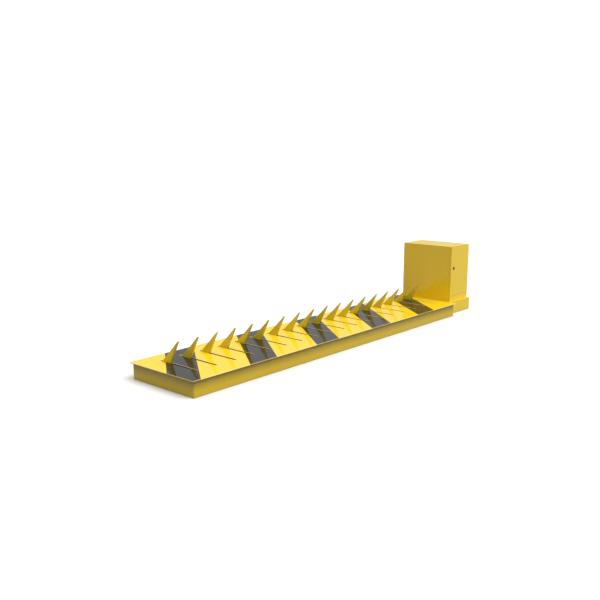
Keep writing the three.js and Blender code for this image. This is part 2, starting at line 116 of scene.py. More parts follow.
def folded(web, tips, span, sheet, bends, upright=False):
    """A sheet folded into a U. Its web's outer face is at the level web along U and its legs
    end at tips, and span reaches over both legs along V, or the other way round if upright.
    Bends are the radii outside the folds, inside them and at the tips."""
    inner = web + math.copysign(sheet, tips - web)
    low, high = span
    points = [
        (web, low),
        (tips, low),
        (tips, low + sheet),
        (inner, low + sheet),
        (inner, high - sheet),
        (tips, high - sheet),
        (tips, high),
        (web, high),
    ]
    outside, inside, tip = bends
    radii = [outside, tip, tip, inside, inside, tip, tip, outside]
    return rounded([(v, u) for u, v in points] if upright else points, radii)


def area(points):
    pairs = zip(points, points[1:] + points[:1])
    return sum(a[0] * b[1] - b[0] * a[1] for a, b in pairs) / 2


def turned_left(points, outer=True):
    """The outline in the order that keeps the material on its left."""
    return list(points) if (area(points) > 0) == outer else list(reversed(points))


def inset(points, by):
    """The outline moved by that distance into the material on its left."""
    moved = []
    for i, corner in enumerate(points):
        here = Vector(corner)
        before = (here - Vector(points[i - 1])).normalized()
        after = (Vector(points[(i + 1) % len(points)]) - here).normalized()
        left_before = Vector((-before.y, before.x))
        left_after = Vector((-after.y, after.x))
        mitre = (left_before + left_after) / (1 + left_before.dot(left_after))
        moved.append(tuple(here + mitre * by))
    return moved


# ------------------------------ meshes

PLACES = {
    "X": lambda u, v, w: (w, u, v),
    "Y": lambda u, v, w: (u, w, v),
    "Z": lambda u, v, w: (u, v, w),
}
NORMALS = {"X": (1, 0, 0), "Y": (0, 1, 0), "Z": (0, 0, 1)}
QUARTER_TURN = [math.pi / 2 * k / EDGE_STEPS for k in range(EDGE_STEPS + 1)]


def bridge(bm, first, second):
    for i in range(len(first)):
        bm.faces.new((first[i - 1], first[i], second[i], second[i - 1]))


def tube(bm, axis, rings):
    """Adds the side through rings of (outline, height) and gives back the rings' vertices."""
    place = PLACES[axis]
    made = [[bm.verts.new(place(u, v, w)) for u, v in points] for points, w in rings]
    for first, second in zip(made, made[1:]):
        bridge(bm, first, second)
    return made


def skin(bm, axis, rings, holes=()):
    """Adds a closed skin through rings of (outline, height). Both ends are capped, and each
    hole is a list of rings of its own, from the first cap to the last."""
    tubes = [tube(bm, axis, rings)] + [tube(bm, axis, rim) for rim in holes]
    for end in (0, -1):
        loops = [made[end] for made in tubes]
        if len(loops) == 1:
            bm.faces.new(loops[0])
            continue
        edges = [bm.edges.get((loop[i - 1], loop[i])) for loop in loops for i in range(len(loop))]
        bmesh.ops.triangle_fill(bm, use_beauty=True, edges=edges, normal=NORMALS[axis])


def edge_levels(span, edge):
    """(inset, height) pairs of a side with both its edges rounded."""
    low, high = span
    below = [(edge * (1 - math.sin(t)), low + edge * (1 - math.cos(t))) for t in QUARTER_TURN]
    above = [(edge * (1 - math.cos(t)), high - edge * (1 - math.sin(t))) for t in QUARTER_TURN]
    return below + above


def slab(bm, axis, outer, span, edge, holes=()):
    """Adds a plate of the outline's shape across the span, with rounded edges and holes."""
    sides = edge_levels(span, edge)
    outlines = [turned_left(outer)] + [turned_left(hole, outer=False) for hole in holes]
    rings, *pierced = [[(inset(outline, by), w) for by, w in sides] for outline in outlines]
    skin(bm, axis, rings, pierced)


def disc(bm, axis, centre, radius, span, edge, holes=(), facets=SMALL_ROUND):
    slab(bm, axis, circle(centre, radius, facets), span, edge, holes)


def box_slab(bm, axis, u, v, w, corner, edge):
    """Adds a block with rounded corners and edges."""
    slab(bm, axis, rounded(rectangle(u, v), corner), w, edge)


def turned(bm, axis, centre, profile, facets=ROUND):
    """Adds a solid of revolution from (radius, height) points. A profile that ends where it
    starts makes a ring, and any other is capped at both ends."""
    rings = [(circle(centre, radius, facets), w) for radius, w in profile]
    if profile[0] == profile[-1]:
        made = tube(bm, axis, rings[:-1])
        bridge(bm, made[-1], made[0])
    else:
        skin(bm, axis, rings)


def above(base, points):
    """A turned profile from (radius, height over the base) points in millimetres."""
    return [(radius * MM, base + height * MM) for radius, height in points]


def hexagon(bm, axis, centre, across, span):
    radius = across / 2 / math.cos(math.pi / 6)
    slab(bm, axis, circle(centre, radius, 6), span, 0.6 * MM)


def bolt(bm, axis, centre, base, size):
    """Adds a washer of that radius and a hexagon head, standing on the level base."""
    washer_top = base + 0.16 * size
    disc(bm, axis, centre, size, (base, washer_top), 0.3 * MM)
    hexagon(bm, axis, centre, 1.62 * size, (washer_top, washer_top + 0.62 * size))


def bead(bm, axis, centre, radius, level):
    """Adds a low ring, a weld bead or a pressed rim, standing on the level."""
    width, rise = 2.2 * MM, 1.76 * MM
    turns = [2 * math.pi * k / BEAD_ROUND for k in range(BEAD_ROUND)]
    ring = [(radius + width * math.cos(t), level + rise * math.sin(t)) for t in turns]
    turned(bm, axis, centre, ring + ring[:1], SMALL_ROUND)


def finished(name, bm, slot, body, *nodes, material=None):
    """Turns a bmesh into a piece that rides on its body and stands for its CAD nodes. It gets
    its slot's material, or the one that is given."""
    bmesh.ops.recalc_face_normals(bm, faces=bm.faces)
    mesh = bpy.data.meshes.new(name)
    bm.to_mesh(mesh)
    bm.free()
    mesh.shade_smooth()
    mesh.set_sharp_from_angle(angle=SHARP_FROM)
    mesh.materials.append(material or MATERIALS[slot])
    piece = bpy.data.objects.new(name, mesh)
    bpy.context.scene.collection.objects.link(piece)
    normals = piece.modifiers.new("face_normals", "WEIGHTED_NORMAL")
    normals.keep_sharp = True
    normals.weight = 100
    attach(piece, body)
    if nodes:
        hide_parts(*nodes)


# ------------------------------ reading the CAD model


def spans(node):
    """The node's extent along X, Y and Z."""
    low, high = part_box(node)
    return [(low[i], high[i]) for i in range(3)]


def levels(node, axis):
    """The node's distinct levels along an axis, in order."""
    return sorted({round(v.co[axis], 5) for v in frame["nodes"][node].data.vertices})


def inner_levels(node, axis):
    """The two levels along an axis that bound the node's opening."""
    found = levels(node, axis)
    return (found[1], found[-2])


def without_straights(points):
    """The outline without the points that lie on a straight run."""
    kept = []
    for i, here in enumerate(points):
        a, b = points[i - 1], points[(i + 1) % len(points)]
        turn = (here[0] - a[0]) * (b[1] - here[1]) - (here[1] - a[1]) * (b[0] - here[0])
        if abs(turn) > 1e-9:
            kept.append(here)
    return kept


def profile(node, axis, end=0):
    """The (outline, holes) of the node's flat face at the low (0) or high (1) end of an axis."""
    k = "XYZ".index(axis)
    bm = bmesh.new()
    bm.from_mesh(frame["nodes"][node].data)
    bmesh.ops.remove_doubles(bm, verts=bm.verts, dist=0.01 * MM)
    level = spans(node)[k][end]
    faces = {f for f in bm.faces if abs(f.calc_center_median()[k] - level) < 0.05 * MM}
    following = {}
    for edge in bm.edges:
        if sum(f in faces for f in edge.link_faces) == 1:
            a, b = edge.verts
            following.setdefault(a, []).append(b)
            following.setdefault(b, []).append(a)
    u, v = (i for i in range(3) if i != k)
    loops = []
    while following:
        start = here = next(iter(following))
        loop, previous = [], None
        while not loop or here is not start:
            loop.append((here.co[u], here.co[v]))
            ahead = next(vert for vert in following.pop(here) if vert is not previous)
            previous, here = here, ahead
        loops.append(without_straights(loop))
    bm.free()
    loops.sort(key=lambda points: -abs(area(points)))
    return loops[0], loops[1:]


def shaft_axis():
    """(Y, Z) of the spike shaft."""
    return tuple(JOINTS["spike_turn"]["pos_m"][1:])


def output_axis():
    """(Y, Z) of the gearbox's output shaft."""
    return tuple(JOINTS["crank_turn"]["pos_m"][1:])


def lock_axis():
    """(X, Z) of the lock."""
    return tuple(JOINTS["lock_turn"]["pos_m"][::2])


# ------------------------------ materials

NOISE_LOW, NOISE_HIGH = 0.3, 0.7  # nearly all of a noise's values lie between these


def math_node(tree, operation, *values):
    """A math node's output. Its inputs are numbers or other nodes' outputs."""
    made = tree.nodes.new("ShaderNodeMath")
    made.operation = operation
    for socket, value in zip(made.inputs, values):
        if isinstance(value, (int, float)):
            socket.default_value = value
        else:
            tree.links.new(value, socket)
    return made.outputs["Value"]


class Shader:
    """A principled material with a few procedural helpers."""

    def __init__(self, name, roughness, metallic=0.0, specular=0.5):
        self.material = bpy.data.materials.new(name)
        self.material.use_nodes = True
        self.tree = self.material.node_tree
        self.surface = self.tree.nodes["Principled BSDF"]
        self.surface.inputs["Roughness"].default_value = roughness
        self.surface.inputs["Metallic"].default_value = metallic
        self.surface.inputs["Specular IOR Level"].default_value = specular
        self.place = self.node("ShaderNodeTexCoord").outputs["Object"]

    def node(self, kind, **settings):
        made = self.tree.nodes.new(kind)
        for key, value in settings.items():
            setattr(made, key, value)
        return made

    def join(self, output, socket):
        self.tree.links.new(output, socket)

    def feed(self, socket, output):
        self.join(output, self.surface.inputs[socket])

    def split(self, vector):
        """The X, Y and Z outputs of a vector."""
        made = self.node("ShaderNodeSeparateXYZ")
        self.join(vector, made.inputs["Vector"])
        return made.outputs

    def noise(self, scale, detail, stretch=(1, 1, 1)):
        mapping = self.node("ShaderNodeMapping")
        mapping.inputs["Scale"].default_value = stretch
        self.join(self.place, mapping.inputs["Vector"])
        noise = self.node("ShaderNodeTexNoise")
        noise.inputs["Scale"].default_value = scale
        noise.inputs["Detail"].default_value = detail
        self.join(mapping.outputs["Vector"], noise.inputs["Vector"])
        return noise.outputs["Fac"]

    def remap(self, value, low, high, to_low=0.0, to_high=1.0):
        made = self.node("ShaderNodeMapRange")
        made.inputs["From Min"].default_value = low
        made.inputs["From Max"].default_value = high
        made.inputs["To Min"].default_value = to_low
        made.inputs["To Max"].default_value = to_high
        self.join(value, made.inputs["Value"])
        return made.outputs["Result"]

    def spread(self, noise, to_low=0.0, to_high=1.0):
        return self.remap(noise, NOISE_LOW, NOISE_HIGH, to_low, to_high)

    def math(self, operation, *values):
        return math_node(self.tree, operation, *values)

    def mix(self, factor, first, second):
        made = self.node("ShaderNodeMix", data_type="RGBA")
        colours = [socket for socket in made.inputs if socket.type == "RGBA"]
        for socket, value in zip(colours, (first, second)):
            if isinstance(value, tuple):
                socket.default_value = (*value, 1)
            else:
                self.join(value, socket)
        self.join(factor, made.inputs["Factor"])
        return [socket for socket in made.outputs if socket.type == "RGBA"][0]

    def bump(self, height, strength, distance):
        made = self.node("ShaderNodeBump")
        made.inputs["Strength"].default_value = strength
        made.inputs["Distance"].default_value = distance
        self.join(height, made.inputs["Height"])
        self.feed("Normal", made.outputs["Normal"])


YELLOW = (0.87, 0.6, 0.012)
YELLOW_WORN = (0.82, 0.55, 0.012)
# The body's yellow made darker: painted shade on the strip's sides and ends
SHADED_STRIP_YELLOW = (0.69, 0.475, 0.012)
SHADED_STRIP_WORN = (0.645, 0.43, 0.012)
# The body's yellow made darker and greener: painted shade on the spikes
SHADED_SPIKE_YELLOW = (0.7, 0.53, 0.02)
SHADED_SPIKE_WORN = (0.64, 0.47, 0.02)
WEAR = 0.35  # how far the worn colour shows at most
# The plate's edges and slot walls: their own yellow, made paler and brighter as a painted highlight
EDGE_YELLOW_AND_HIGHLIGHT = (0.92, 0.72, 0.2)

DUST = (0.42, 0.33, 0.16)
DUST_HEIGHT = 30 * MM
DUST_COVER = 0.35
DUST_DULLS = 0.5  # roughness added where the dust lies

# Painted shade: the strip's sides darkened under the plate's lip, where its shadow falls
LIP_SHADE = (0.12, 0.085, 0.01)
LIP_SHADE_DEPTHS = (75 * MM, 6 * MM)  # below the plate: where the painted shade starts and where it is full
LIP_SHADE_COVER = (0.55, 0.7)

# Stripes: where each starts along X, measured at the plate's approach edge
STRIPE_BLACK = (0.012, 0.012, 0.014)
STRIPE_STARTS = (-1.946, -1.271, -0.600, 0.073, 0.739)
STRIPE_WIDTH = 0.253
STRIPE_EDGE = -0.312
STRIPE_SLANT = 0.762  # along X for each metre towards the rear
STRIPE_WOBBLE = 0.4 * MM
STRIPE_ON_EDGES = 0.4  # how well the black covers the plate's edges
FACING_UP = 0.98  # a face's normal rises at least this much when it counts as level


def paint(name, roughness, fresh=YELLOW, worn=YELLOW_WORN, stripes=False, lip_shaded=False):
    """Glossy powder coat: slight colour drift, fine orange peel, dust low on the sides, and as options painted
    shade under the plate's lip and pale edges with a painted highlight.
    """
    shader = Shader(name, roughness)
    place = shader.split(shader.place)
    drift = shader.remap(shader.noise(2.3, 4.0), 0.35, 0.7, 0.0, WEAR)
    colour = shader.mix(drift, fresh, worn)
    low = shader.remap(place["Z"], DUST_HEIGHT, 0.0)
    patches = shader.remap(shader.noise(60, 5.0), 0.35, 0.75, 0.0, DUST_COVER)
    dust = shader.math("MULTIPLY", low, patches)
    colour = shader.mix(dust, colour, DUST)
    # painted shade under the plate's lip
    if lip_shaded:
        colour = shader.mix(lip_shade_mask(shader, place), colour, LIP_SHADE)
    if stripes:
        up = facing_up(shader)
        # edges and slot walls: their yellow with a painted highlight
        colour = shader.mix(up, EDGE_YELLOW_AND_HIGHLIGHT, colour)
        cover = shader.remap(up, 0, 1, STRIPE_ON_EDGES, 1)
        inside = shader.math("MULTIPLY", stripe_mask(shader, place), cover)
        colour = shader.mix(inside, colour, STRIPE_BLACK)
    shader.feed("Base Color", colour)
    gloss = shader.spread(shader.noise(9, 5.0), roughness - 0.03, roughness + 0.04)
    dulled = shader.math("MULTIPLY", dust, DUST_DULLS)
    shader.feed("Roughness", shader.math("ADD", gloss, dulled))
    shader.bump(shader.noise(420, 1.0), 0.05, 0.2 * MM)
    return shader.material


def lip_shade_mask(shader, place):
    """Painted shade in streaks that run down the sides from under the plate's lip."""
    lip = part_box("top_plate")[0].z
    near = shader.remap(place["Z"], *(lip - depth for depth in LIP_SHADE_DEPTHS))
    streaks = shader.spread(shader.noise(25, 4.0, (1, 1, 0.2)), *LIP_SHADE_COVER)
    return shader.math("MULTIPLY", near, streaks)


def facing_up(shader):
    """1 on faces that look straight up."""
    normal = shader.node("ShaderNodeNewGeometry").outputs["True Normal"]
    return shader.math("GREATER_THAN", shader.split(normal)["Z"], FACING_UP)


def stripe_mask(shader, place):
    """1 inside the slanted stripes."""
    wobble = shader.spread(shader.noise(140, 2.0), -STRIPE_WOBBLE, STRIPE_WOBBLE)
    from_edge = shader.math("SUBTRACT", place["Y"], STRIPE_EDGE)
    slant = shader.math("MULTIPLY", from_edge, STRIPE_SLANT)
    along = shader.math("ADD", shader.math("SUBTRACT", place["X"], slant), wobble)
    inside = 0.0
    for start in STRIPE_STARTS:
        offset = shader.math("SUBTRACT", along, start + STRIPE_WIDTH / 2)
        from_centre = shader.math("ABSOLUTE", offset)
        inside = shader.math("ADD", inside, shader.math("LESS_THAN", from_centre, STRIPE_WIDTH / 2))
    return inside


def metal(name, light, dark, roughness, brushed=(1, 1, 1)):
    """Bare or plated metal with a clouded colour and fine lines along the brushing."""
    shader = Shader(name, roughness, metallic=1.0)
    shader.feed("Base Color", shader.mix(shader.spread(shader.noise(15, 5.0)), light, dark))
    lines = shader.noise(720, 2.0, brushed)
    shader.feed("Roughness", shader.spread(lines, roughness - 0.07, roughness + 0.1))
    shader.bump(lines, 0.08, 0.1 * MM)
    return shader.material


def cast(name, colour, shade):
    """Painted casting: coarse skin under satin paint."""
    shader = Shader(name, 0.45)
    shader.feed("Base Color", shader.mix(shader.spread(shader.noise(18, 5.0)), colour, shade))
    shader.bump(shader.noise(500, 4.0), 0.35, 0.4 * MM)
    return shader.material


def moulded(name, colour, shade, roughness, grain):
    """Plastic or rubber with a fine moulded texture."""
    shader = Shader(name, roughness)
    shader.feed("Base Color", shader.mix(shader.spread(shader.noise(25, 4.0)), colour, shade))
    shader.bump(shader.noise(grain, 2.0), 0.25, 0.15 * MM)
    return shader.material


MATERIALS = {
    "body_paint": paint("body_paint", 0.13),
    "spike_paint": paint("spike_paint", 0.2, SHADED_SPIKE_YELLOW, SHADED_SPIKE_WORN),
    "zinc": metal("zinc", (0.62, 0.63, 0.63), (0.45, 0.46, 0.47), 0.38),
    "bright_steel": metal("bright_steel", (0.72, 0.72, 0.72), (0.6, 0.6, 0.61), 0.22, (1, 14, 14)),
    "bronze": metal("bronze", (0.62, 0.38, 0.14), (0.45, 0.26, 0.1), 0.33),
    "cast_grey": cast("cast_grey", (0.14, 0.155, 0.17), (0.1, 0.11, 0.125)),
    "seal_rubber": moulded("seal_rubber", (0.018, 0.018, 0.018), (0.03, 0.03, 0.03), 0.85, 900),
    "grey_plastic": moulded("grey_plastic", (0.58, 0.59, 0.58), (0.53, 0.54, 0.53), 0.5, 1500),
    "black_plastic": moulded("black_plastic", (0.02, 0.02, 0.022), (0.03, 0.03, 0.032), 0.42, 1500),
}
STRIPED_PAINT = paint("striped_paint", 0.1, stripes=True)
# the strip's sides and ends: a darker copy of the body paint as painted shade, plus painted shade under the lip
SHADED_STRIP_PAINT = paint("shaded_strip_paint", 0.15, SHADED_STRIP_YELLOW, SHADED_STRIP_WORN, lip_shaded=True)


def dress_cad_nodes():
    """Gives every CAD node the material of its slot in the record."""
    for row in frame["record"]["subparts"]:
        node = frame["nodes"][row["node"]]
        node.data.materials.clear()
        node.data.materials.append(MATERIALS[row["material_slot"]])


# ------------------------------ strip

STRIP_SHEET = 6 * MM  # the plinth's too
SHAFT_RADIUS = 22 * MM
WELDED_BORE = SHAFT_RADIUS + 0.3 * MM  # of pieces that are fixed to the shaft
RUNNING_BORE = SHAFT_RADIUS + 0.5 * MM  # of pieces that the shaft turns in
BUSH_RADIUS = 30 * MM


def add_top_plate():
    along, across, height = spans("top_plate")
    slot_across = inner_levels("top_plate", 1)
    slot_sides = levels("top_plate", 0)[1:-1]
    slots = []
    for slot_along in zip(slot_sides[::2], slot_sides[1::2]):
        slots.append(rounded(rectangle(slot_along, slot_across), 4 * MM))
    bm = bmesh.new()
    slab(bm, "Z", rounded(rectangle(along, across), 3 * MM), height, 1.8 * MM, slots)
    finished("drive_over_plate", bm, "body_paint", "frame", "top_plate", material=STRIPED_PAINT)


def add_side_channels():
    for which in ("front", "rear"):
        node = f"side_channel_{which}"
        along, across, height = spans(node)
        web, tips = across if which == "front" else reversed(across)
        section = folded(web, tips, height, STRIP_SHEET, (4 * MM, 1 * MM, 0.5 * MM))
        bm = bmesh.new()
        slab(bm, "X", section, along, 0.5 * MM)
        finished(f"channel_{which}", bm, "body_paint", "frame", node, material=SHADED_STRIP_PAINT)


def add_end_plates():
    shaft_hole = circle(shaft_axis(), SHAFT_RADIUS + 2 * MM)
    for which, holes in (("free", []), ("drive", [shaft_hole])):
        node = f"end_plate_{which}"
        along, across, height = spans(node)
        bm = bmesh.new()
        slab(bm, "X", rounded(rectangle(across, height), 1.5 * MM), along, 1 * MM, holes)
        finished(f"end_cap_{which}", bm, "body_paint", "frame", node, material=SHADED_STRIP_PAINT)


def spike_outline():
    """The raised spike's outline in (Y, Z): a blade that leans to the approach side, with a
    hollow back, on a round hub."""
    axis = Vector(shaft_axis())
    front_foot = axis + Vector((-52, 0)) * MM
    rear_foot = axis + Vector((7, 51)) * MM
    hollow = axis + Vector((-62, 112)) * MM
    tip = axis + Vector((-159, 210)) * MM
    tip_width, tip_drop = 3 * MM, 1 * MM
    hub_radius = 36 * MM
    hub_start, hub_end = -0.72 * math.pi, 0.2 * math.pi
    steps = 20
    points = [tuple(front_foot)]
    for i in range(steps + 1):
        points.append(on_circle(axis, hub_radius, hub_start + (hub_end - hub_start) * i / steps))
    points.append(tuple(rear_foot))
    rear_tip = tip + Vector((tip_width, 0))
    for i in range(1, steps + 1):
        t = i / steps
        point = rear_foot * (1 - t) ** 2 + hollow * (2 * t * (1 - t)) + rear_tip * t ** 2
        points.append(tuple(point))
    points.append((tip.x, tip.y - tip_drop))
    return points


def add_spikes():
    outline = spike_outline()
    bore = circle(shaft_axis(), WELDED_BORE, SMALL_ROUND)
    for name in SPIKES:
        bm = bmesh.new()
        slab(bm, "X", outline, spans(name)[0], 1.6 * MM, [bore])
        finished(f"thorn_{name[-2:]}", bm, "spike_paint", "spike_rotor", name)


def add_rib(i):
    """A cross rib with two pressed rings."""
    node = f"cross_rib_{i}"
    along, across, height = spans(node)
    outline, _ = profile(node, "X")
    bush_hole = circle(shaft_axis(), BUSH_RADIUS + 0.3 * MM)
    bm = bmesh.new()
    slab(bm, "X", rounded(outline, 1 * MM, FEW_STEPS), along, 0.8 * MM, [bush_hole])
    for from_front in (110 * MM, 230 * MM):
        bead(bm, "X", (across[0] + from_front, middle(height)), 22 * MM, along[0])
    finished(f"rib_{i}", bm, "body_paint", "frame", node)


def add_rib_bush(i):
    """A flanged bush held by four screws."""
    node = f"rib_bush_{i}"
    start, end = spans(node)[0]
    chamfer = 1 * MM
    flange = 39 * MM
    shoulder = end - 7.7 * MM
    ring = [
        (RUNNING_BORE + chamfer, start),
        (BUSH_RADIUS - chamfer, start),
        (BUSH_RADIUS, start + chamfer),
        (BUSH_RADIUS, shoulder),
        (flange - chamfer, shoulder),
        (flange, shoulder + chamfer),
        (flange, end - chamfer),
        (flange - chamfer, end),
        (RUNNING_BORE + chamfer, end),
        (RUNNING_BORE, end - chamfer),
        (RUNNING_BORE, start + chamfer),
        (RUNNING_BORE + chamfer, start),
    ]
    bm = bmesh.new()
    turned(bm, "X", shaft_axis(), ring)
    for spot in circle(shaft_axis(), 34.5 * MM, 4, math.pi / 4):
        disc(bm, "X", spot, 2.6 * MM, (end, end + 1.6 * MM), 0.6 * MM)
    finished(f"flanged_bush_{i}", bm, "bronze", "frame", node)


def add_end_bearings():
    """Waisted bearing housings, each with six bolts on its inner face."""
    rim, waist, chamfer = 40 * MM, 34 * MM, 2 * MM
    rim_width, slope = 9 * MM, 3 * MM
    bolt_ring, bolt_width, bolt_rise = 31 * MM, 8 * MM, 4 * MM
    for which in ("free", "drive"):
        node = f"end_bearing_{which}"
        start, end = spans(node)[0]
        ring = [
            (RUNNING_BORE + chamfer, start),
            (rim - chamfer, start),
            (rim, start + chamfer),
            (rim, start + rim_width),
            (waist, start + rim_width + slope),
            (waist, end - rim_width - slope),
            (rim, end - rim_width),
            (rim, end - chamfer),
            (rim - chamfer, end),
            (RUNNING_BORE + chamfer, end),
            (RUNNING_BORE, end - chamfer),
            (RUNNING_BORE, start + chamfer),
            (RUNNING_BORE + chamfer, start),
        ]
        heads = (end, end + bolt_rise) if which == "free" else (start - bolt_rise, start)
        bm = bmesh.new()
        turned(bm, "X", shaft_axis(), ring)
        for spot in circle(shaft_axis(), bolt_ring, 6, math.pi / 6):
            hexagon(bm, "X", spot, bolt_width, heads)
        finished(f"bearing_{which}", bm, "cast_grey", "frame", node)


def add_shaft():
    """The spike shaft with a set collar beside the free end's bearing."""
    centre = shaft_axis()
    collar_radius = 31 * MM
    collar_start = spans("end_bearing_free")[0][1] + 4.5 * MM
    collar = (collar_start, collar_start + 15.5 * MM)
    collar_bore = circle(centre, SHAFT_RADIUS - 0.4 * MM)
    screw_top = centre[1] + collar_radius + 2 * MM
    bm = bmesh.new()
    disc(bm, "X", centre, SHAFT_RADIUS, spans("spike_shaft")[0], 1.5 * MM, facets=ROUND)
    disc(bm, "X", centre, collar_radius, collar, 1.2 * MM, [collar_bore], ROUND)
    disc(bm, "Z", (middle(collar), centre[0]), 3 * MM, (screw_top - 3 * MM, screw_top), 0.5 * MM)
    finished("torsion_shaft", bm, "bright_steel", "spike_rotor", "spike_shaft")


def add_anchor_bolts():
    """Bolts through the lower flanges, between the ribs."""
    count = 6
    from_side = 27 * MM
    along = spans("side_channel_front")[0]
    rows = (spans("side_channel_front")[1][0] + from_side, spans("side_channel_rear")[1][1] - from_side)
    bm = bmesh.new()
    for y in rows:
        for i in range(count):
            x = along[0] + (along[1] - along[0]) * (i + 0.5) / count
            bolt(bm, "Z", (x, y), STRIP_SHEET, 12 * MM)
    finished("anchor_bolts", bm, "zinc", "frame")


# ------------------------------ plinth and cabinet

CABINET_SHEET = 3 * MM
DOOR_SHEET = 2 * MM


def add_cabinet_walls():
    along, across, height = spans("cabinet_walls")
    bends = (6 * MM, 3 * MM, 0.9 * MM)
    section = folded(across[1], across[0], along, CABINET_SHEET, bends, upright=True)
    bm = bmesh.new()
    slab(bm, "Z", section, height, 0.5 * MM)
    finished("cabinet_shell", bm, "body_paint", "frame", "cabinet_walls")


def add_cabinet_roof():
    along, across, height = spans("cabinet_roof")
    bm = bmesh.new()
    box_slab(bm, "Z", along, across, height, 6 * MM, 1.2 * MM)
    finished("roof", bm, "body_paint", "frame", "cabinet_roof")


def add_skirt():
    along, across, height = spans("cabinet_skirt")
    bends = (6 * MM, 3 * MM, 1 * MM)
    section = folded(*across, along, CABINET_SHEET, bends, upright=True)
    bm = bmesh.new()
    slab(bm, "Z", section, height, 0.5 * MM)
    finished("skirt", bm, "body_paint", "frame", "cabinet_skirt")


def add_plinth_walls():
    along, across, height = spans("plinth_walls")
    section = folded(along[1], along[0], across, STRIP_SHEET, (8 * MM, 3 * MM, 1 * MM))
    bm = bmesh.new()
    slab(bm, "Z", section, height, 0.4 * MM)
    finished("plinth_skin", bm, "body_paint", "frame", "plinth_walls")


def plinth_plate(name, node, edge, hole):
    """A plate of the plinth, square towards the strip and rounded at the far corners."""
    along, across, height = spans(node)
    outline = rounded(rectangle(along, across), [1 * MM, 8 * MM, 8 * MM, 1 * MM])
    bm = bmesh.new()
    slab(bm, "Z", outline, height, edge, [hole])
    finished(name, bm, "body_paint", "frame", node)


def add_plinth_plates():
    opening = rectangle(inner_levels("plinth_top", 0), inner_levels("plinth_top", 1))
    plinth_plate("plinth_lid", "plinth_top", 1.5 * MM, rounded(opening, 5 * MM))
    gland = [middle(span) for span in spans("cable_gland")[:2]]
    plinth_plate("plinth_floor", "plinth_base", 0.6 * MM, circle(gland, 12 * MM, SMALL_ROUND))


# ------------------------------ drive


def pin_cap(bm, centre, level):
    """Adds a washer and a retaining ring on a linkage pin's end."""
    washer, ring, ring_half = 15 * MM, 6 * MM, 0.6 * MM
    ring_start = level - ring_half
    disc(bm, "X", centre, washer, (ring_start - 1.8 * MM, ring_start), 0.4 * MM)
    disc(bm, "X", centre, ring, (ring_start, level + ring_half), 0.3 * MM)


def add_lever(node, name, body, hub_bore):
    """A lever on its hub, with the linkage pin in its eye."""
    outline, holes = profile(node, "X")
    hub = centroid(holes[0])
    eye = centroid(profile(node, "X", 1)[0])
    start, pin_end = spans(node)[0]
    arm_end = start + 12 * MM
    bm = bmesh.new()
    slab(bm, "X", outline, (start, arm_end), 1.2 * MM, [circle(hub, hub_bore)])
    disc(bm, "X", eye, 10 * MM, (arm_end - 3 * MM, pin_end), 0.8 * MM, facets=ROUND)
    pin_cap(bm, eye, pin_end)
    bead(bm, "X", hub, hub_bore + 1.5 * MM, start)
    finished(name, bm, "zinc", body, node)


def add_levers():
    add_lever("shaft_lever", "rotor_lever", "spike_rotor", WELDED_BORE)
    add_lever("crank_arm", "drive_crank", "crank", 15.3 * MM)


def add_output_shaft():
    start, end = spans("gearbox_output_shaft")[0]
    bm = bmesh.new()
    disc(bm, "X", output_axis(), 15 * MM, (start, end), 1 * MM, facets=ROUND)
    disc(bm, "X", output_axis(), 11 * MM, (start - 2 * MM, start + 1 * MM), 0.6 * MM)
    finished("output_stub", bm, "bright_steel", "crank", "gearbox_output_shaft")


def add_rod():
    outline, holes = profile("connecting_rod", "X")
    eyes = [circle(centroid(hole), 10.5 * MM) for hole in holes]
    bm = bmesh.new()
    slab(bm, "X", outline, spans("connecting_rod")[0], 2 * MM, eyes)
    finished("tie_rod", bm, "zinc", "rod", "connecting_rod")


def add_gearbox():
    """The casting with its boss, bolted flange, three ribs and the oil plug."""
    outline, _ = profile("gearbox", "X", 1)
    centre = output_axis()
    (boss_end, back), (side, _), height = spans("gearbox")
    face = boss_end + 6 * MM
    shaft_hole = [circle(centre, 17 * MM)]
    bm = bmesh.new()
    slab(bm, "X", rounded(outline, 4 * MM, FEW_STEPS), (face, back), 4 * MM)
    disc(bm, "X", centre, 36 * MM, (boss_end, face + 2 * MM), 1.5 * MM, shaft_hole, ROUND)
    disc(bm, "X", centre, 50 * MM, (face - 2.5 * MM, face + 2 * MM), 1.2 * MM, shaft_hole, ROUND)
    for spot in circle(centre, 43 * MM, 6, math.pi / 6):
        hexagon(bm, "X", spot, 10 * MM, (face - 7 * MM, face - 2 * MM))
    for from_face in (22 * MM, 47 * MM, 72 * MM):
        rib = shrunk((face + from_face, face + from_face), -2.5 * MM)
        box_slab(bm, "Y", rib, shrunk(height, 20 * MM), (side - 3 * MM, side + 4 * MM), 2 * MM, 1 * MM)
    plug = (face + 60 * MM, height[0] + 24 * MM)
    hexagon(bm, "Y", plug, 15 * MM, (side - 7 * MM, side + 2 * MM))
    finished("worm_gearbox", bm, "cast_grey", "frame", "gearbox")


def fin(bm, centre, angle, reach, height):
    """Adds one thin upright fin that points away from the centre."""
    half = 1.1 * MM
    c, s = math.cos(angle), math.sin(angle)

    def at(radius, side):
        return (centre[0] + radius * c - side * s, centre[1] + radius * s + side * c)

    corners = [at(reach[0], -half), at(reach[1], -half), at(reach[1], half), at(reach[0], half)]
    slab(bm, "Z", corners, height, 0.4 * MM)


# Radius and height over the motor's foot, in millimetres
MOTOR_BODY = [(0, 0), (57, 0), (58, 1), (58, 11), (57, 12), (48, 15), (48, 131), (0, 131)]
MOTOR_COWL = [(0, 130), (57, 130), (58, 131), (58, 172), (54, 179), (46, 183.5), (20, 184)]
MOTOR_COWL += [(18, 181), (0, 181)]


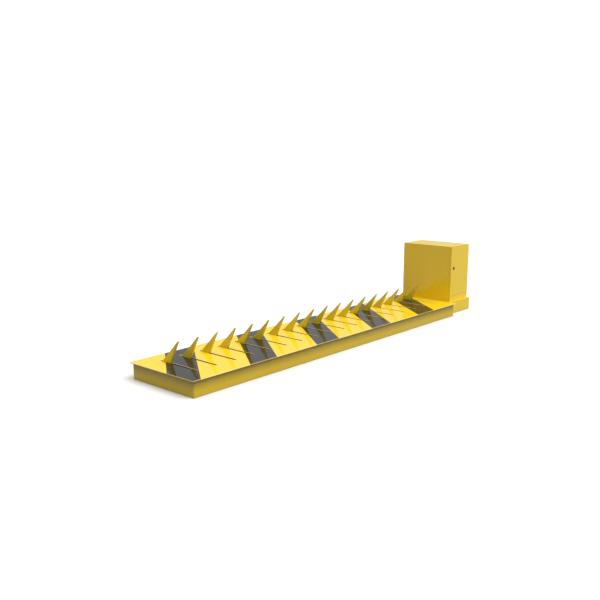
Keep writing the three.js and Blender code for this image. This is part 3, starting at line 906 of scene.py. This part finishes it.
def add_motor():
    """An upright motor: bolted flange, finned body, and a fan cowl with raised rings."""
    along, across, (foot, _) = spans("motor")
    centre = (middle(along), middle(across))
    fins = 30
    fin_reach = (46 * MM, 57 * MM)
    fin_height = (foot + 14 * MM, foot + 130 * MM)
    bm = bmesh.new()
    turned(bm, "Z", centre, above(foot, MOTOR_BODY))
    for k in range(fins):
        fin(bm, centre, 2 * math.pi * k / fins, fin_reach, fin_height)
    turned(bm, "Z", centre, above(foot, MOTOR_COWL))
    for radius in (26 * MM, 33 * MM, 40 * MM):
        bead(bm, "Z", centre, radius, foot + 183.6 * MM)
    for spot in circle(centre, 52 * MM, 4, math.pi / 4):
        hexagon(bm, "Z", spot, 9 * MM, (foot + 12 * MM, foot + 18 * MM))
    finished("drive_motor", bm, "cast_grey", "frame", "motor")


def add_motor_terminals():
    """The terminal box on the motor's approach side, with a screwed lid."""
    along, (side, _), (foot, _) = spans("motor")
    box_along = shrunk((middle(along), middle(along)), -28 * MM)
    box_height = (foot + 45 * MM, foot + 100 * MM)
    front = side - 6 * MM
    lid = [shrunk(span, -1.5 * MM) for span in (box_along, box_height)]
    bm = bmesh.new()
    box_slab(bm, "Y", box_along, box_height, (front, side + 14 * MM), 5 * MM, 2 * MM)
    box_slab(bm, "Y", *lid, (front - 3 * MM, front + 1 * MM), 6 * MM, 1.2 * MM)
    for spot in rectangle(shrunk(box_along, 7 * MM), shrunk(box_height, 7 * MM)):
        disc(bm, "Y", spot, 2.5 * MM, (front - 4.5 * MM, front - 2 * MM), 0.6 * MM)
    finished("motor_terminals", bm, "black_plastic", "frame")


def add_bracket():
    """The gearmotor's angle bracket with two gussets, bolted to the plinth and the gearbox."""
    outline, _ = profile("gearmotor_bracket", "Y")
    along, across, height = spans("gearmotor_bracket")
    sheet = 10 * MM
    upright, floor = along[0] + sheet, height[0] + sheet
    reach, taper, rise = 60 * MM, 6 * MM, 190 * MM
    thickness = 6 * MM
    gusset = [(upright, floor), (upright + reach, floor)]
    gusset += [(upright + taper, floor + rise), (upright, floor + rise)]
    bm = bmesh.new()
    slab(bm, "Y", rounded(outline, 1.5 * MM, FEW_STEPS), across, 1 * MM)
    for y in (across[0] + 6 * MM, across[1] - 12 * MM):
        slab(bm, "Y", gusset, (y, y + thickness), 0.8 * MM)
    for y in shrunk(across, 32 * MM):
        bolt(bm, "Z", (upright + 40 * MM, y), floor, 11 * MM)
        for z in (height[1] - 25 * MM, height[1] - 105 * MM):
            bolt(bm, "X", (y, z), upright, 9 * MM)
    finished("gearmotor_stand", bm, "zinc", "frame", "gearmotor_bracket")


def add_limit_switches():
    """Switches with a lid held by two screws, and a plunger that faces the crank."""
    lid_thickness = 14 * MM
    for which, outwards in (("raised", 1), ("lowered", -1)):
        node = f"limit_switch_{which}"
        (start, end), across, height = spans(node)
        seam = end - lid_thickness
        lid = [shrunk(span, 1.5 * MM) for span in (across, height)]
        face = height[1] if which == "raised" else height[0]
        plunger = sorted((face - outwards * 1 * MM, face + outwards * 2.6 * MM))
        bm = bmesh.new()
        box_slab(bm, "X", across, height, (start, seam), 3 * MM, 1 * MM)
        box_slab(bm, "X", *lid, (seam, end), 3 * MM, 1.5 * MM)
        disc(bm, "Z", (middle((start, end)), middle(across)), 4 * MM, plunger, 1.2 * MM)
        for z in shrunk(height, 8 * MM):
            disc(bm, "X", (middle(across), z), 3 * MM, (end - 1 * MM, end + 1.4 * MM), 0.6 * MM)
        finished(f"switch_{which}", bm, "black_plastic", "frame", node)


def add_control_box():
    """An open tray with a rounded back."""
    (mouth, back), across, height = spans("control_box")
    wall = 3 * MM
    outline = turned_left(rounded(rectangle(across, height), 6 * MM))
    hollow = inset(outline, wall)
    rounding = edge_levels((back - 6 * MM, back), 2 * MM)[EDGE_STEPS + 1:]
    rings = [(hollow, back - wall), (hollow, mouth), (outline, mouth)]
    rings += [(inset(outline, by), w) for by, w in rounding]
    bm = bmesh.new()
    skin(bm, "X", rings)
    finished("control_tray", bm, "grey_plastic", "frame", "control_box")


def add_control_box_cover():
    """The cover with a raised panel and four screws."""
    along, across, height = spans("control_box_cover")
    face = along[0]
    panel = (shrunk(across, 22 * MM), shrunk(height, 26 * MM))
    bm = bmesh.new()
    box_slab(bm, "X", across, height, along, 6 * MM, 2.5 * MM)
    box_slab(bm, "X", *panel, (face - 1.5 * MM, face + 3 * MM), 5 * MM, 1.2 * MM)
    for spot in rectangle(shrunk(across, 11 * MM), shrunk(height, 11 * MM)):
        disc(bm, "X", spot, 5 * MM, (face - 1.5 * MM, face + 2 * MM), 0.8 * MM)
    finished("control_lid", bm, "grey_plastic", "frame", "control_box_cover")


def add_control_glands():
    """Three glands below the control box."""
    along, across, (low, _) = spans("control_box")
    dome = above(low - 16 * MM, [(0, 0), (6, 0), (8.5, 3), (10, 8), (0, 8)])
    bm = bmesh.new()
    for y in (across[0] + 50 * MM, middle(across), across[1] - 50 * MM):
        hexagon(bm, "Z", (middle(along), y), 24 * MM, (low - 9 * MM, low))
        turned(bm, "Z", (middle(along), y), dome, SMALL_ROUND)
    finished("control_glands", bm, "black_plastic", "frame")


def add_cable_gland():
    """The gland in the plinth's base: neck, hexagon and domed cap."""
    along, across, (_, top) = spans("cable_gland")
    centre = (middle(along), middle(across))
    bore = 6 * MM
    neck = [(6, 0.8), (11.5, 0.8), (11.5, 6.3), (17, 6.3), (17, 7.3)]
    cap = [(14.5, 16), (15, 18), (15, 29), (13, 34)]
    ring = above(0, neck + cap) + [(10 * MM, top), (bore, top), (bore, 0.8 * MM)]
    bm = bmesh.new()
    turned(bm, "Z", centre, ring)
    nut_hole = circle(centre, 14 * MM, SMALL_ROUND)
    disc(bm, "Z", centre, 18.5 * MM, (6.9 * MM, 15 * MM), 0.8 * MM, [nut_hole], facets=6)
    finished("supply_gland", bm, "black_plastic", "frame", "cable_gland")


# ------------------------------ door, lock and hinges


def add_door():
    """The door's outer pan: a skin with folded rims, pierced for the lock."""
    along, (front, rear), height = spans("door_panel")
    edge = 1.5 * MM
    outline = turned_left(rounded(rectangle(along, height), 2 * MM))
    pan = inset(outline, DOOR_SHEET)
    rings = [(pan, front + DOOR_SHEET), (pan, rear), (outline, rear)]
    for t in QUARTER_TURN:
        rings.append((inset(outline, edge * (1 - math.cos(t))), front + edge * (1 - math.sin(t))))
    rim = turned_left(circle(lock_axis(), 9.5 * MM, SMALL_ROUND), outer=False)
    bm = bmesh.new()
    skin(bm, "Y", rings, [[(rim, front + DOOR_SHEET), (rim, front)]])
    finished("door_skin", bm, "body_paint", "door", "door_panel")


def add_door_stiffener():
    """A pressed rail inside the door."""
    along, (front, _), height = spans("door_panel")
    start = front + DOOR_SHEET
    rail = shrunk((middle(along) + 20 * MM,) * 2, -18 * MM)
    bm = bmesh.new()
    box_slab(bm, "Y", rail, shrunk(height, 40 * MM), (start, start + 9 * MM), 6 * MM, 2.5 * MM)
    finished("door_stiffener", bm, "body_paint", "door")


def add_door_frame():
    outline, holes = profile("door_frame", "Y")
    bm = bmesh.new()
    slab(bm, "Y", rounded(outline, 2 * MM), spans("door_frame")[1], 0.8 * MM, [rounded(holes[0], 8 * MM)])
    finished("door_rim", bm, "body_paint", "frame", "door_frame")


def add_door_seal():
    outline, holes = profile("door_seal", "Y")
    bm = bmesh.new()
    slab(bm, "Y", rounded(outline, 8 * MM), spans("door_seal")[1], 3 * MM, [rounded(holes[0], 4 * MM)])
    finished("seal_strip", bm, "seal_rubber", "door", "door_seal")


def add_lock_ring():
    bore = circle(lock_axis(), 9.5 * MM, SMALL_ROUND)
    bm = bmesh.new()
    disc(bm, "Y", lock_axis(), 14 * MM, spans("lock_escutcheon")[1], 0.9 * MM, [bore], ROUND)
    finished("lock_ring", bm, "black_plastic", "door", "lock_escutcheon")


def add_lock_core():
    """The barrel with its keyway, and behind it the spindle that carries the cam."""
    x, z = lock_axis()
    front, rear = spans("lock_barrel")[1]
    keyway = rectangle((x - 1.5 * MM, x + 1.5 * MM), (z - 6 * MM, z + 6 * MM))
    keyway_end, shoulder = front + 9 * MM, rear - 6.3 * MM
    bm = bmesh.new()
    disc(bm, "Y", (x, z), 9 * MM, (front, keyway_end), 0.8 * MM, [rounded(keyway, 1 * MM)])
    disc(bm, "Y", (x, z), 9 * MM, (keyway_end, shoulder), 0.3 * MM)
    disc(bm, "Y", (x, z), 4 * MM, (shoulder, rear), 0.3 * MM)
    finished("lock_core", bm, "cast_grey", "lock", "lock_barrel")


def add_lock_cam():
    outline, _ = profile("lock_cam", "Y")
    front, rear = spans("lock_cam")[1]
    bore = circle(lock_axis(), 4.3 * MM, SMALL_ROUND)
    bm = bmesh.new()
    slab(bm, "Y", rounded(outline, 5 * MM), (front, rear), 0.7 * MM, [bore])
    hexagon(bm, "Y", lock_axis(), 13 * MM, (rear + 0.2 * MM, rear + 4 * MM))
    finished("lock_tongue", bm, "zinc", "lock", "lock_cam")


HINGE_RADIUS = 6 * MM
HINGE_LEAF = 3.2 * MM  # thickness
HINGE_GAP = 0.5 * MM  # between the two knuckles


def add_hinge(which):
    """A lift-off hinge: the cabinet half carries the pin, and the door half drops over it."""
    cabinet_node, door_node = f"hinge_cabinet_half_{which}", f"hinge_door_half_{which}"
    centre = tuple(JOINTS["door_swing"]["pos_m"][:2])
    (leaf, _), (_, leaf_end), (foot, pin_top) = spans(cabinet_node)
    _, (door_end, _), cup = spans(door_node)
    knuckle = (foot, cup[0] - HINGE_GAP)
    leaf_along = (leaf, leaf + HINGE_LEAF)
    screw = (leaf_along[1] - 0.5 * MM, leaf_along[1] + 1.6 * MM)

    bm = bmesh.new()
    disc(bm, "Z", centre, HINGE_RADIUS, knuckle, 0.7 * MM, facets=ROUND)
    disc(bm, "Z", centre, 3 * MM, (knuckle[1] - 1 * MM, pin_top), 0.6 * MM)
    box_slab(bm, "X", (centre[1], leaf_end), knuckle, leaf_along, 3 * MM, 0.6 * MM)
    for z in shrunk(knuckle, 9 * MM):
        disc(bm, "X", (leaf_end - 10 * MM, z), 4 * MM, screw, 0.9 * MM)
    finished(f"hinge_pin_{which}", bm, "zinc", "frame", cabinet_node)

    bore = circle(centre, 3.5 * MM, SMALL_ROUND)
    bm = bmesh.new()
    disc(bm, "Z", centre, HINGE_RADIUS, cup, 0.7 * MM, [bore], ROUND)
    box_slab(bm, "X", (door_end, centre[1] - 4.5 * MM), cup, leaf_along, 1.5 * MM, 0.5 * MM)
    finished(f"hinge_cup_{which}", bm, "zinc", "door", door_node)


# ------------------------------ stage, light and camera

# The camera that the photo's straight edges give
CAMERA_PLACE = Vector((-4.4947, -3.5713, 1.4446))
CAMERA_HEADING = math.radians(48.72)  # from +Y towards +X
CAMERA_DIP = math.radians(11.18)
CAMERA_LENS = 43.89

# The floor's shade: to the camera, in mirrored light and in scattered light
FLOOR_SEEN = 0.78
FLOOR_MIRRORED = 0.5
FLOOR_BOUNCE = 0.24
FLOOR_RADIUS = 120
FLOOR_DROP = 0.5 * MM

DOME_HORIZON = 0.26
DOME_SWING = 0.2  # brighter towards the swing's heading, darker away from it
DOME_SWING_HEADING = math.radians(80)
DOME_ZENITH = 1.55
DOME_RISE = 1.8  # how late the dome brightens with height
BACKDROP = 1.05

# Heading from +Y towards +X, elevation, strength and width, with the angles in degrees
KEY_SUN = (163, 56, 2.0, 45)
FILL_SUN = (229, 10, 0.35, 60)


def add_camera():
    data = bpy.data.cameras.new("camera")
    data.lens = CAMERA_LENS
    data.sensor_width = 36
    data.clip_end = 500
    camera = bpy.data.objects.new("camera", data)
    camera.location = CAMERA_PLACE
    camera.rotation_euler = (math.pi / 2 - CAMERA_DIP, 0, -CAMERA_HEADING)
    bpy.context.scene.collection.objects.link(camera)
    bpy.context.scene.camera = camera


def add_floor():
    """A plain floor that reads white in the picture and gives back a little less light."""
    bm = bmesh.new()
    bmesh.ops.create_circle(bm, cap_ends=True, radius=FLOOR_RADIUS, segments=96)
    mesh = bpy.data.meshes.new("floor")
    bm.to_mesh(mesh)
    bm.free()
    floor = bpy.data.objects.new("floor", mesh)
    floor.location.z = -FLOOR_DROP
    shader = Shader("floor", 0.9, specular=0.0)
    path = shader.node("ShaderNodeLightPath").outputs
    tone = shader.mix(path["Is Glossy Ray"], (FLOOR_SEEN,) * 3, (FLOOR_MIRRORED,) * 3)
    tone = shader.mix(path["Is Diffuse Ray"], tone, (FLOOR_BOUNCE,) * 3)
    shader.feed("Base Color", tone)
    mesh.materials.append(shader.material)
    bpy.context.scene.collection.objects.link(floor)


def add_sun(name, heading, elevation, strength, width):
    """A soft directional light that comes from the heading."""
    data = bpy.data.lights.new(name, "SUN")
    data.energy = strength
    data.angle = math.radians(width)
    light = bpy.data.objects.new(name, data)
    turn, rise = math.radians(heading), math.radians(elevation)
    level = math.cos(rise)
    source = Vector((math.sin(turn) * level, math.cos(turn) * level, math.sin(rise)))
    light.rotation_euler = source.to_track_quat("Z", "Y").to_euler()
    bpy.context.scene.collection.objects.link(light)


def dome_level(tree):
    """How bright the dome is in each direction: it brightens with height and to one side."""
    split = tree.nodes.new("ShaderNodeSeparateXYZ")
    direction = tree.nodes.new("ShaderNodeTexCoord").outputs["Generated"]
    tree.links.new(direction, split.inputs["Vector"])
    x, y, z = (split.outputs[axis] for axis in "XYZ")
    east = math_node(tree, "MULTIPLY", x, math.sin(DOME_SWING_HEADING))
    north = math_node(tree, "MULTIPLY", y, math.cos(DOME_SWING_HEADING))
    swing = math_node(tree, "MULTIPLY", math_node(tree, "ADD", east, north), DOME_SWING)
    horizon = math_node(tree, "ADD", swing, DOME_HORIZON)
    rise = math_node(tree, "POWER", math_node(tree, "MAXIMUM", z, 0.0), DOME_RISE)
    gap = math_node(tree, "SUBTRACT", DOME_ZENITH, horizon)
    return math_node(tree, "ADD", horizon, math_node(tree, "MULTIPLY", gap, rise))


def add_world():
    """White to the camera, and to everything else a dome that brightens with height."""
    world = bpy.data.worlds.new("studio")
    world.use_nodes = True
    bpy.context.scene.world = world
    tree = world.node_tree
    dome = tree.nodes["Background"]
    tree.links.new(dome_level(tree), dome.inputs["Color"])
    dome.inputs["Strength"].default_value = 1.0
    backdrop = tree.nodes.new("ShaderNodeBackground")
    backdrop.inputs["Color"].default_value = (1, 1, 1, 1)
    backdrop.inputs["Strength"].default_value = BACKDROP
    path = tree.nodes.new("ShaderNodeLightPath")
    chosen = tree.nodes.new("ShaderNodeMixShader")
    tree.links.new(path.outputs["Is Camera Ray"], chosen.inputs["Fac"])
    tree.links.new(dome.outputs["Background"], chosen.inputs[1])
    tree.links.new(backdrop.outputs["Background"], chosen.inputs[2])
    tree.links.new(chosen.outputs["Shader"], tree.nodes["World Output"].inputs["Surface"])


def add_stage():
    add_floor()
    add_world()
    add_sun("key_sun", *KEY_SUN)
    add_sun("fill_sun", *FILL_SUN)
    bpy.context.scene.view_settings.view_transform = "Standard"
    bpy.context.scene.view_settings.look = "None"


# ------------------------------ build

dress_cad_nodes()
add_top_plate()
add_side_channels()
add_end_plates()
add_spikes()
add_plinth_walls()
add_plinth_plates()
add_cabinet_walls()
add_cabinet_roof()
add_skirt()
add_door()
add_lock_ring()
add_lock_core()
for number in (1, 2, 3):
    add_rib(number)
    add_rib_bush(number)
add_end_bearings()
add_shaft()
add_anchor_bolts()
add_levers()
add_output_shaft()
add_rod()
add_gearbox()
add_motor()
add_motor_terminals()
add_bracket()
add_limit_switches()
add_control_box()
add_control_box_cover()
add_control_glands()
add_cable_gland()
add_door_frame()
add_door_seal()
add_door_stiffener()
add_lock_cam()
add_hinge("lower")
add_hinge("upper")
add_camera()
add_stage()
